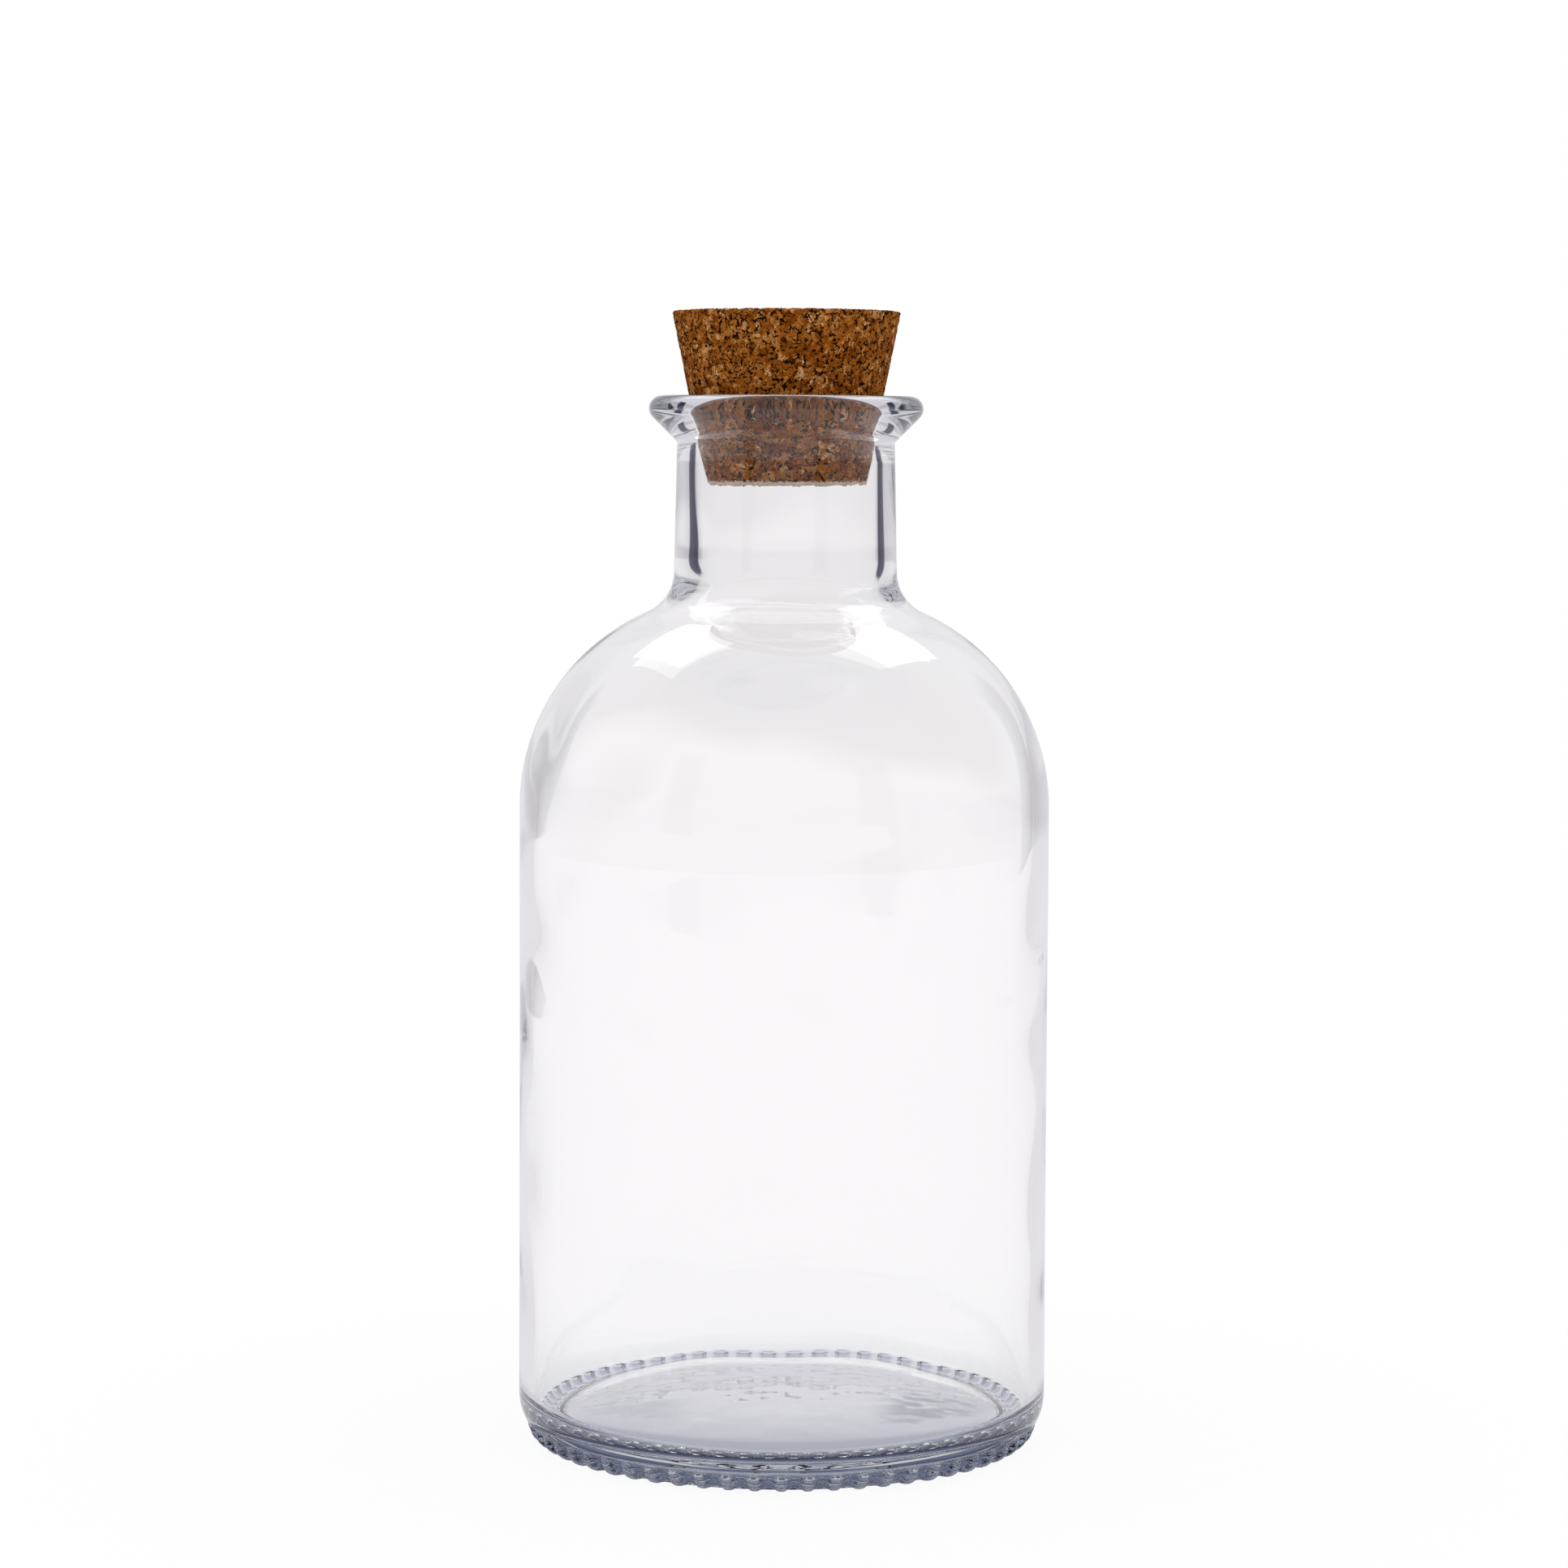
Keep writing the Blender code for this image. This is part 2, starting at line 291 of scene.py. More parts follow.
# the outside, from the bead of the lip down to the mould's parting line
def outsideOutline(b):
    beadR = b["lipRadius"] - b["beadRadius"]
    points = arcPoints(beadR, b["height"] - b["beadRadius"], b["beadRadius"], 90, -45, b["beadSteps"])
    # the underside of the lip falls at 45 degrees to the neck
    touchR, touchZ = points[-1]
    neckTop = touchZ - (touchR - b["neckTopRadius"])
    points += linePoints(touchR, touchZ, b["neckTopRadius"], neckTop, b["lipUnderSteps"])[1:]
    filletR = b["neckFootRadius"] + b["neckFillet"]
    reach = b["shoulderRadius"] + b["neckFillet"]
    turn = math.acos((filletR - b["shoulderMiddle"]) / reach)
    neckFoot = b["bodyTop"] + reach * math.sin(turn)
    turn = math.degrees(turn)
    points += linePoints(b["neckTopRadius"], neckTop, b["neckFootRadius"], neckFoot, b["neckSteps"])[1:-1]
    points += arcPoints(filletR, neckFoot, b["neckFillet"], 180, 180 + turn, b["neckFilletSteps"])
    shoulder = arcPoints(b["shoulderMiddle"], b["bodyTop"], b["shoulderRadius"], turn, 0, b["shoulderSteps"])
    points += shoulder[1:]
    steps = b["panelSteps"]
    for top, start, end in ((b["panelHigh"], 0, 1), (b["panelLow"] + b["panelRun"], 1, 0)):
        for i in range(steps + 1):
            depth = b["panelDepth"] * (start + (end - start) * easeCosine(i / steps))
            points.append((b["radius"] - depth, top - b["panelRun"] * i / steps))
    heelR = b["radius"] - b["heelRadius"]
    drop = -math.degrees(b["heelDrop"])
    points += arcPoints(heelR, b["heelHeight"], b["heelRadius"], 0, drop, b["heelSteps"])
    return points


# the ring the bottle stands on, from the parting line round the base edge to its inner rim
def ringOutline(b):
    points = [(b["edgeMiddle"] + b["baseEdge"], b["partingHeight"])]
    points += arcPoints(b["edgeMiddle"], b["baseEdge"], b["baseEdge"], 0, -90, b["baseEdgeSteps"])
    points += linePoints(b["edgeMiddle"], 0, b["bearingInner"], 0, b["bearingSteps"])[1:]
    return points


# the hollow under the floor, from the ring's inner rim to the middle
def hollowOutline(b):
    points = []
    steps = b["recessSteps"]
    for i in range(1, steps + 1):
        slopeR = b["bearingInner"] - b["recessSlope"] * i / steps
        points.append((slopeR, b["recessHeight"] * easeCosine(i / steps)))
    domeR = b["bearingInner"] - b["recessSlope"] - b["recessStep"]
    domeZ = b["recessHeight"] + b["recessStep"]
    rise = b["puntHeight"] - domeZ
    steps = b["floorSteps"]
    for i in range(steps + 1):
        out = 1 - i / steps
        points.append((domeR * out, domeZ + rise * (1 - out ** 2)))
    return points


# joins two rings of the mesh, each named by its (radius, height), with a band of faces
def bridgeRings(piece, rings):
    makeActive(piece)
    bpy.ops.object.mode_set(mode="EDIT")
    bpy.ops.mesh.select_mode(type="VERT")
    bpy.ops.mesh.select_all(action="DESELECT")
    bpy.ops.object.mode_set(mode="OBJECT")
    for vertex in piece.data.vertices:
        r = math.hypot(vertex.co.x, vertex.co.y)
        vertex.select = any(abs(r - ring[0]) + abs(vertex.co.z - ring[1]) < nearDistance for ring in rings)
    bpy.ops.object.mode_set(mode="EDIT")
    bpy.ops.mesh.bridge_edge_loops()
    bpy.ops.object.mode_set(mode="OBJECT")


def addKnurls(glass, b):
    group = glass.vertex_groups.new(name="knurl")
    top = b["partingHeight"] * b["knurlTopShare"]
    for vertex in glass.data.vertices:
        x, y, z = vertex.co
        r = math.hypot(x, y)
        if z < top and r > b["knurlEnd"]:
            valley = easeCubic((1 - math.cos(math.atan2(y, x) * b["knurls"])) / 2)
            fade = min(1.0, (r - b["knurlEnd"]) / b["knurlFade"])
            group.add([vertex.index], valley * fade, "REPLACE")
    grooves = glass.modifiers.new("knurls", "DISPLACE")
    grooves.vertex_group = "knurl"
    grooves.mid_level = 0
    grooves.strength = -b["knurlDepth"]
    applyModifiers(glass)


# the mould gives the outside its shape, but the blown inside strays a little
def addWaver(glass, b):
    group = glass.vertex_groups.new(name="inside")
    shoulder = b["shoulderRadius"] - b["wall"]
    low = b["puntHeight"] + b["floor"] - b["floorCrown"] - b["waverStart"]
    high = b["height"] - b["mouthDepth"] - b["waverStop"]
    for vertex in glass.data.vertices:
        x, y, z = vertex.co
        inner = b["radius"] - b["wall"]
        if z > b["bodyTop"]:
            side = min(1.0, (z - b["bodyTop"]) / shoulder)
            inner = b["neckInside"]
            if side < b["neckShare"]:
                inner = b["shoulderMiddle"] + shoulder * math.sqrt(1 - side ** 2)
        if low < z < high and math.hypot(x, y) < inner + b["insideReach"]:
            rise = easeCubic(min(1.0, max(0.0, (z - b["panelLow"]) / b["waverRise"])))
            share = b["waverFloorShare"] + (1 - b["waverFloorShare"]) * rise
            group.add([vertex.index], share, "REPLACE")
    clouds = bpy.data.textures.new("waver", "CLOUDS")
    clouds.noise_scale = b["waverSize"]
    clouds.noise_depth = 0
    stray = glass.modifiers.new("waver", "DISPLACE")
    stray.vertex_group = "inside"
    stray.texture = clouds
    stray.texture_coords = "LOCAL"
    stray.strength = b["waver"]
    applyModifiers(glass)


def sodaGlass(b):
    # soda-lime glass, blown in a mould and fire-polished: clear, glossy, blue-grey where it is thick
    material, tree = emptyMaterial("blownSodaLimeGlass")
    place = addNode(tree, "ShaderNodeTexCoord").outputs["Object"]
    parts = addNode(tree, "ShaderNodeSeparateXYZ", {0: place})
    height = parts.outputs["Z"]
    across = addNode(tree, "ShaderNodeVectorMath", {0: place, 1: (1, 1, 0)}, operation="MULTIPLY")
    out = addNode(tree, "ShaderNodeVectorMath", {0: across.outputs[0]}, operation="LENGTH")
    start, end = b["ringStart"]
    rim = addNode(tree, "ShaderNodeMapRange", {0: out.outputs["Value"], 1: start, 2: end})
    # the cooler mould under the base leaves faint ripples in the floor
    inner = addNode(tree, "ShaderNodeMath", {0: 1.0, 1: rim.outputs[0]}, operation="SUBTRACT")
    start, end = b["rippleTop"]
    low = addNode(tree, "ShaderNodeMapRange", {0: height, 1: start, 2: end, 3: 1.0, 4: 0.0})
    floor = addNode(tree, "ShaderNodeMath", {
        0: inner.outputs[0], 1: low.outputs[0]}, operation="MULTIPLY")
    wave = addNode(tree, "ShaderNodeTexNoise", {"Vector": place, **b["rippleNoise"]})
    ripples = addNode(tree, "ShaderNodeBump", {
        "Strength": floor.outputs[0], "Distance": b["rippleDepth"], "Height": wave.outputs[0]})
    # painted shade: the grooves between the knurls are darker than their rounded tips, as they gather less
    # light
    bearing = addNode(tree, "ShaderNodeMath", {
        0: parts.outputs["Y"], 1: parts.outputs["X"]}, operation="ARCTAN2")
    turns = addNode(tree, "ShaderNodeMath", {
        0: bearing.outputs[0], 1: b["knurls"]}, operation="MULTIPLY")
    crest = addNode(tree, "ShaderNodeMath", {0: turns.outputs[0]}, operation="COSINE")
    start, end = b["grooveStart"]
    groove = addNode(tree, "ShaderNodeMapRange", {0: crest.outputs[0], 1: start, 2: end})
    knurlTintAndShade = addNode(tree, "ShaderNodeMix", {
        0: groove.outputs[0], 6: toLinear(b["tipTint"]), 7: toLinear(b["grooveTintAndShade"])}, data_type="RGBA")
    # the thick ring at the foot, with the painted shade of its grooves, and the thick lip look blue-grey,
    # the thin wall stays clear
    start, end = b["ringTop"]
    foot = addNode(tree, "ShaderNodeMapRange", {0: height, 1: start, 2: end, 3: 1.0, 4: 0.0})
    ring = addNode(tree, "ShaderNodeMath", {
        0: rim.outputs[0], 1: foot.outputs[0]}, operation="MULTIPLY")
    ringTintAndShade = addNode(tree, "ShaderNodeMix", {
        0: ring.outputs[0], 6: pureWhite, 7: knurlTintAndShade.outputs[2]}, data_type="RGBA")
    start, end = b["lipStart"]
    lip = addNode(tree, "ShaderNodeMapRange", {0: height, 1: start, 2: end})
    tintWithShade = addNode(tree, "ShaderNodeMix", {
        0: lip.outputs[0], 6: ringTintAndShade.outputs[2], 7: toLinear(b["lipTint"])}, data_type="RGBA")
    surface = addNode(tree, "ShaderNodeBsdfPrincipled", {
        "Base Color": tintWithShade.outputs[2],
        "Roughness": 0.0,
        "IOR": b["ior"],
        "Transmission Weight": 1.0,
        "Normal": ripples.outputs[0],
    })
    depth = addNode(tree, "ShaderNodeVolumeAbsorption", {
        "Color": toLinear(b["depthTint"]), "Density": b["depthDensity"]})
    light = b["shadowPass"]
    clear = addNode(tree, "ShaderNodeBsdfTransparent", {"Color": (light, light, light, 1)})
    path = addNode(tree, "ShaderNodeLightPath")
    mix = addNode(tree, "ShaderNodeMixShader", {
        0: path.outputs["Is Shadow Ray"], 1: surface.outputs[0], 2: clear.outputs[0]})
    addNode(tree, "ShaderNodeOutputMaterial", {"Surface": mix.outputs[0], "Volume": depth.outputs[0]})
    return material


def makeBottle(b):
    inside = insideOutline(b)
    outside = outsideOutline(b)
    ring = ringOutline(b)
    hollow = hollowOutline(b)
    glass = turnOutline("glassBottle", inside + outside, b["bodySteps"])
    foot = turnOutline("ring", ring, b["knurls"] * b["knurlSteps"])
    under = turnOutline("hollow", hollow, b["bodySteps"])
    deselectAll()
    for piece in (foot, under, glass):
        piece.select_set(True)
    bpy.context.view_layer.objects.active = glass
    bpy.ops.object.join()
    closeSurface(glass)
    bridgeRings(glass, (outside[-1], ring[0]))
    bridgeRings(glass, (ring[-1], hollow[0]))
    closeSurface(glass)
    addKnurls(glass, b)
    addWaver(glass, b)
    glass.data.materials.append(sodaGlass(b))
    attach(glass, "bottle")
    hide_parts("glass_bottle")


makeBottle(bottle)
print("bottle made")


# cork

# sizes of its shape are in metres, those of its granules in mm, with the noises in waves per mm, and a
# pair of values is where something begins and where it ends
cork = {
    "edge": 0.0004,
    "edgeSteps": 3,
    "turnSteps": 400,
    "topRings": 32,
    "sideRings": 96,
    "bottomRings": 20,
    "pitDepth": 0.00016,
    "ragged": 0.00075,          # how much is torn off the lower rim
    "raggedReach": 0.0022,
    "tornNoise": {"Scale": 0.55, "Detail": 3.0, "Roughness": 0.6},
    "torn": (0.35, 0.65),
    "largeGrain": 1.9,          # across a large granule
    "fineGrain": 0.85,
    "bends": ((0.45, 1.9), (2.1, 0.75)),        # waves that bend the granules, and how far
    "bendDetail": 2.0,
    "gapNoise": {"Scale": 1.3, "Detail": 2.0, "Roughness": 0.6},
    "largeGap": (0.49, 0.74),
    "largeGapWidth": 0.15,      # the widest, as a share of a granule
    "fineGap": (0.49, 0.72),
    "fineGapWidth": 0.26,
    "gapCoreShare": 0.55,       # of a gap's width, all dark
    "pitNoise": {"Scale": 1.7, "Detail": 1.5, "Roughness": 0.5},
    "pit": (0.635, 0.68),
    "crumbShare": 0.62,         # of the large granules, pressed from crumbs
    "cloudNoise": {"Scale": 1.1, "Detail": 3.0, "Roughness": 0.65},
    "cloud": (0.25, 0.75),
    "cloudShare": 0.5,          # of the tone, the rest is each granule's own
    "tones": [(0.10, "#6f3200"), (0.35, "#924f10"), (0.55, "#a86422"), (0.72, "#bd7c3c"), (0.86, "#e6b482")],
    "speckNoise": {"Scale": 3.6, "Detail": 4.0, "Roughness": 0.75},
    "speck": (0.32, 0.66),
    "speckLight": (0.42, 1.30),         # what the specks multiply the tone by
    "gapTone": "#1c0600",
    "fray": 0.0016,             # metres over which the fresh cork of the torn rim shows
    "freshTone": "#f2dcc8",
    "bumpDepth": 0.0002,
    "bumpStrength": 0.8,
    "bumpSpeckShare": 0.5,      # how high the specks stand, against the depth of a gap
    "roughness": 0.85,
    "gloss": 0.05,
}


# one pattern of pressed granules, used for both the relief and the colour
def corkPattern(tree, position, c):
    mm = addNode(tree, "ShaderNodeVectorMath", {
        0: position, 1: (mmPerMetre, mmPerMetre, mmPerMetre)}, operation="MULTIPLY")
    plain = mm.outputs[0]
    place = plain
    for scale, reach in c["bends"]:
        bend = addNode(tree, "ShaderNodeTexNoise", {
            "Vector": place, "Scale": scale, "Detail": c["bendDetail"]})
        off = addNode(tree, "ShaderNodeVectorMath", {
            0: bend.outputs["Color"], 1: noiseMiddle}, operation="SUBTRACT")
        push = addNode(tree, "ShaderNodeVectorMath", {
            0: off.outputs[0], "Scale": reach}, operation="SCALE")
        bent = addNode(tree, "ShaderNodeVectorMath", {0: place, 1: push.outputs[0]}, operation="ADD")
        place = bent.outputs[0]
    pattern = {"plain": plain, "place": place}
    holes = addNode(tree, "ShaderNodeTexNoise", {"Vector": place, **c["pitNoise"]})
    start, end = c["pit"]
    dark = addNode(tree, "ShaderNodeMapRange", {0: holes.outputs[0], 1: start, 2: end})
    # gaps stand open between some of the granules only, wider here and closed there
    where = addNode(tree, "ShaderNodeTexNoise", {"Vector": plain, **c["gapNoise"]})
    for name in ("large", "fine"):
        scale = 1 / c[name + "Grain"]
        cells = addNode(tree, "ShaderNodeTexVoronoi", {"Vector": place, "Scale": scale})
        edges = addNode(tree, "ShaderNodeTexVoronoi", {
            "Vector": place, "Scale": scale}, feature="DISTANCE_TO_EDGE")
        start, end = c[name + "Gap"]
        width = addNode(tree, "ShaderNodeMapRange", {
            0: where.outputs[0], 1: start, 2: end, 3: 0.0, 4: c[name + "GapWidth"]})
        core = addNode(tree, "ShaderNodeMath", {
            0: width.outputs[0], 1: c["gapCoreShare"]}, operation="MULTIPLY")
        gap = addNode(tree, "ShaderNodeMapRange", {
            0: edges.outputs["Distance"], 1: core.outputs[0], 2: width.outputs[0], 3: 1.0, 4: 0.0})
        dark = addNode(tree, "ShaderNodeMath", {
            0: dark.outputs[0], 1: gap.outputs[0]}, operation="MAXIMUM")
        pattern[name + "Cell"] = cells.outputs["Color"]
    pattern["dark"] = dark.outputs[0]
    return pattern


def pressedCork(c):
    # cork granules glued and pressed, then ground to the taper: matte, with open gaps between the grains
    material, tree = emptyMaterial("pressedCorkGranules")
    place = addNode(tree, "ShaderNodeTexCoord").outputs["Object"]
    pattern = corkPattern(tree, place, c)
    large = addNode(tree, "ShaderNodeSeparateColor", {0: pattern["largeCell"]})
    fine = addNode(tree, "ShaderNodeSeparateColor", {0: pattern["fineCell"]})
    # some large granules are a single piece of bark, the rest are crumbs
    whole = addNode(tree, "ShaderNodeMath", {
        0: large.outputs[1], 1: c["crumbShare"]}, operation="GREATER_THAN")
    bark = addNode(tree, "ShaderNodeMix", {0: whole.outputs[0], 2: fine.outputs[0], 3: large.outputs[0]})
    cloud = addNode(tree, "ShaderNodeTexNoise", {"Vector": pattern["place"], **c["cloudNoise"]})
    start, end = c["cloud"]
    spread = addNode(tree, "ShaderNodeMapRange", {0: cloud.outputs[0], 1: start, 2: end})
    blend = addNode(tree, "ShaderNodeMix", {0: c["cloudShare"], 2: bark.outputs[0], 3: spread.outputs[0]})
    tone = addNode(tree, "ShaderNodeValToRGB", {0: blend.outputs[0]}, c["tones"])
    speck = addNode(tree, "ShaderNodeTexNoise", {"Vector": pattern["plain"], **c["speckNoise"]})
    start, end = c["speck"]
    darkest, brightest = c["speckLight"]
    speckLight = addNode(tree, "ShaderNodeMapRange", {
        0: speck.outputs[0], 1: start, 2: end, 3: darkest, 4: brightest})
    grain = addNode(tree, "ShaderNodeMix", {
        0: 1.0, 6: tone.outputs[0], 7: speckLight.outputs[0]}, data_type="RGBA", blend_type="MULTIPLY")
    gaps = addNode(tree, "ShaderNodeMix", {
        0: pattern["dark"], 6: grain.outputs[2], 7: toLinear(c["gapTone"])}, data_type="RGBA")
    # fresh cork shows pale where the lower rim is torn
    height = addNode(tree, "ShaderNodeSeparateXYZ", {0: place}).outputs["Z"]
    line = addNode(tree, "ShaderNodeMath", {
        0: speck.outputs[0], 1: c["fray"], 2: corkLow.z}, operation="MULTIPLY_ADD")
    fresh = addNode(tree, "ShaderNodeMath", {0: height, 1: line.outputs[0]}, operation="LESS_THAN")
    color = addNode(tree, "ShaderNodeMix", {
        0: fresh.outputs[0], 6: gaps.outputs[2], 7: toLinear(c["freshTone"])}, data_type="RGBA")
    sunk = addNode(tree, "ShaderNodeMath", {0: pattern["dark"], 1: -1.0}, operation="MULTIPLY")
    rough = addNode(tree, "ShaderNodeMath", {
        0: speck.outputs[0], 1: c["bumpSpeckShare"], 2: sunk.outputs[0]}, operation="MULTIPLY_ADD")
    bump = addNode(tree, "ShaderNodeBump", {
        "Strength": c["bumpStrength"], "Distance": c["bumpDepth"], "Height": rough.outputs[0]})
    surface = addNode(tree, "ShaderNodeBsdfPrincipled", {
        "Base Color": color.outputs[2],
        "Roughness": c["roughness"],
        "Specular IOR Level": c["gloss"],
        "Normal": bump.outputs[0],
    })
    addNode(tree, "ShaderNodeOutputMaterial", {"Surface": surface.outputs[0]})
    return material


def addRelief(stopper, c):
    tree = bpy.data.node_groups.new("corkRelief", "GeometryNodeTree")
    tree.interface.new_socket("Geometry", in_out="INPUT", socket_type="NodeSocketGeometry")
    tree.interface.new_socket("Geometry", in_out="OUTPUT", socket_type="NodeSocketGeometry")
    plainCork = addNode(tree, "NodeGroupInput")
    place = addNode(tree, "GeometryNodeInputPosition").outputs[0]
    normal = addNode(tree, "GeometryNodeInputNormal")
    pattern = corkPattern(tree, place, c)
    depth = addNode(tree, "ShaderNodeMath", {0: pattern["dark"], 1: -c["pitDepth"]}, operation="MULTIPLY")
    push = addNode(tree, "ShaderNodeVectorMath", {
        0: normal.outputs[0], "Scale": depth.outputs[0]}, operation="SCALE")
    # the lower rim is torn: crumbs have come away along it
    torn = addNode(tree, "ShaderNodeTexNoise", {"Vector": pattern["plain"], **c["tornNoise"]})
    start, end = c["torn"]
    loss = addNode(tree, "ShaderNodeMapRange", {
        0: torn.outputs[0], 1: start, 2: end, 3: 0.0, 4: c["ragged"]})
    height = addNode(tree, "ShaderNodeSeparateXYZ", {0: place}).outputs["Z"]
    rim = addNode(tree, "ShaderNodeMapRange", {
        0: height, 1: corkLow.z, 2: corkLow.z + c["raggedReach"], 3: 1.0, 4: 0.0})
    lift = addNode(tree, "ShaderNodeMath", {
        0: loss.outputs[0], 1: rim.outputs[0]}, operation="MULTIPLY")
    upwards = addNode(tree, "ShaderNodeCombineXYZ", {"Z": lift.outputs[0]})
    both = addNode(tree, "ShaderNodeVectorMath", {
        0: push.outputs[0], 1: upwards.outputs[0]}, operation="ADD")
    moved = addNode(tree, "GeometryNodeSetPosition", {
        "Geometry": plainCork.outputs[0], "Offset": both.outputs[0]})
    addNode(tree, "NodeGroupOutput", {0: moved.outputs[0]})
    relief = stopper.modifiers.new("relief", "NODES")
    relief.node_group = tree
    applyModifiers(stopper)


def makeCork(c):
    top = corkHigh.z
    bottom = corkLow.z
    topR = corkHigh.x
    bottomR = topR - (top - bottom) * math.tan(math.radians(bottle["taper"]))
    edge = c["edge"]
    outline = linePoints(0, top, topR - edge, top, c["topRings"])
    outline += arcPoints(topR - edge, top - edge, edge, 90, 0, c["edgeSteps"])[1:]
    outline += linePoints(topR, top - edge, bottomR, bottom + edge, c["sideRings"])[1:]
    outline += arcPoints(bottomR - edge, bottom + edge, edge, 0, -90, c["edgeSteps"])[1:]
    outline += linePoints(bottomR - edge, bottom, 0, bottom, c["bottomRings"])[1:]
    stopper = turnOutline("corkStopper", outline, c["turnSteps"])
    closeSurface(stopper)
    addRelief(stopper, c)
    stopper.data.materials.append(pressedCork(c))
    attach(stopper, "cork")
    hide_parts("cork_stopper")


makeCork(cork)
print("cork made")


# studio

camera = {
    "distance": 0.6314,         # from the bottle's axis
    "height": 0.1508,
    "sideStep": -0.00031,
    "lens": 96.07,              # mm
    "pitch": 3.578,             # degrees down
    "roll": -0.27,
    "shift": -0.05,
}


def makeCamera(c):
    data = bpy.data.cameras.new("studioCamera")
    data.lens = c["lens"]
    data.shift_y = c["shift"]
    viewer = bpy.data.objects.new("studioCamera", data)
    bpy.context.scene.collection.objects.link(viewer)
    viewer.location = (c["sideStep"], -c["distance"], c["height"])
    viewer.rotation_euler = (math.radians(90 - c["pitch"]), math.radians(c["roll"]), 0)
    bpy.context.scene.camera = viewer


# slopes are those of the light, from -1 straight down to 1 straight up
surroundings = {
    "backdrop": "#fffdfe",      # the backdrop seen through the glass
    "neckBackdrop": "#f3f1f2",
    "neckSlope": (-0.075, -0.03),       # over this the one turns into the other
    "room": "#746f70",          # what the front of the glass mirrors
    "roomSides": "#e6e5e8",     # what its edges mirror
    "roomReach": 0.6,           # the room ends where the mirrored light points this far back
    "softLight": 0.86,          # even light on matt surfaces
    # from 0 straight behind and straight beside the bottle to 1 half way between the two
    "flats": [(0.0, "#f4f2f3"), (0.50, "#eae8ea"), (0.82, "#dcdade"), (0.87, "#1a1a42"), (1.0, "#121238")],
    "gapEnd": (0.41, 0.53),     # slope up or down
    # by slope, with 0 straight down and 0.5 level
    "flatEnds": [(0.448, "#ffffff"), (0.470, "#dddbdf"), (0.520, "#dddbdf"), (0.54, "#ffffff")],
    "farSide": "#e4e2e5",       # what the far side mirrors back
    "overhead": [(0.0, "#ffffff"), (0.08, "#f4f5f9"), (0.50, "#f4f5f9"), (0.65, "#ffffff")],     # by slope
}


